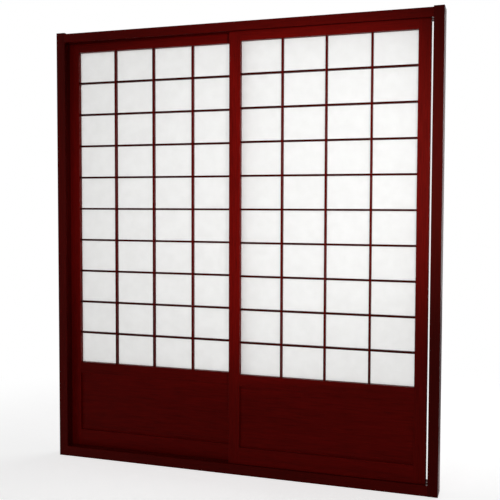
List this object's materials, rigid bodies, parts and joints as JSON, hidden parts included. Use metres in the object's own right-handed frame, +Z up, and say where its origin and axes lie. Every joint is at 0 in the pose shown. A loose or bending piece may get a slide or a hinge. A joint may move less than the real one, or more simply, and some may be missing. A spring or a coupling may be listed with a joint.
{
  "type": "shoji sliding panel pair with frame",
  "caption": "Pair of bypass shoji panels in a stained timber frame: paper-backed lattice above a flat kick panel, each sliding in its own groove of head and sill.",
  "frame": {"origin": "middle of the frame's width and depth, at the sill's underside", "axes": "+X along the tracks to the right as seen from the front, +Y from the front face to the back, +Z up"},
  "size_m": [1.86, 0.086, 2.083],
  "materials": {
    "frame_wood": "red-brown stain, satin",
    "panel_wood": "red-brown stain, satin",
    "lattice_wood": "red-brown stain, satin",
    "bead_wood": "red-brown stain, satin",
    "kick_board": "red-brown stain, satin",
    "shoji_paper": "translucent laminated paper, matte",
    "screw_steel": "zinc plated"
  },
  "bodies": {
    "frame": {"frame_screws": "screw_steel", "head": "frame_wood", "left_jamb": "frame_wood", "right_jamb": "frame_wood", "sill": "frame_wood"},
    "front_panel": {"front_bead_bottom": "bead_wood", "front_bead_left": "bead_wood", "front_bead_right": "bead_wood", "front_bead_top": "bead_wood", "front_bottom_rail": "panel_wood", "front_cross_bar_1": "lattice_wood", "front_cross_bar_2": "lattice_wood", "front_cross_bar_3": "lattice_wood", "front_cross_bar_4": "lattice_wood", "front_cross_bar_5": "lattice_wood", "front_cross_bar_6": "lattice_wood", "front_cross_bar_7": "lattice_wood", "front_cross_bar_8": "lattice_wood", "front_cross_bar_9": "lattice_wood", "front_kick_panel": "kick_board", "front_left_stile": "panel_wood", "front_mid_rail": "panel_wood", "front_paper": "shoji_paper", "front_right_stile": "panel_wood", "front_top_rail": "panel_wood", "front_upright_bar_1": "lattice_wood", "front_upright_bar_2": "lattice_wood", "front_upright_bar_3": "lattice_wood"},
    "rear_panel": {"rear_bead_bottom": "bead_wood", "rear_bead_left": "bead_wood", "rear_bead_right": "bead_wood", "rear_bead_top": "bead_wood", "rear_bottom_rail": "panel_wood", "rear_cross_bar_1": "lattice_wood", "rear_cross_bar_2": "lattice_wood", "rear_cross_bar_3": "lattice_wood", "rear_cross_bar_4": "lattice_wood", "rear_cross_bar_5": "lattice_wood", "rear_cross_bar_6": "lattice_wood", "rear_cross_bar_7": "lattice_wood", "rear_cross_bar_8": "lattice_wood", "rear_cross_bar_9": "lattice_wood", "rear_kick_panel": "kick_board", "rear_left_stile": "panel_wood", "rear_mid_rail": "panel_wood", "rear_paper": "shoji_paper", "rear_right_stile": "panel_wood", "rear_top_rail": "panel_wood", "rear_upright_bar_1": "lattice_wood", "rear_upright_bar_2": "lattice_wood", "rear_upright_bar_3": "lattice_wood"}
  },
  "joints": [
    {"name": "front_panel_slide", "type": "slide", "parent": "frame", "child": "front_panel", "axis": [1, 0, 0], "range_m": [-0.851, 0.013]},
    {"name": "rear_panel_slide", "type": "slide", "parent": "frame", "child": "rear_panel", "axis": [1, 0, 0], "range_m": [0, 0.864]}
  ]
}
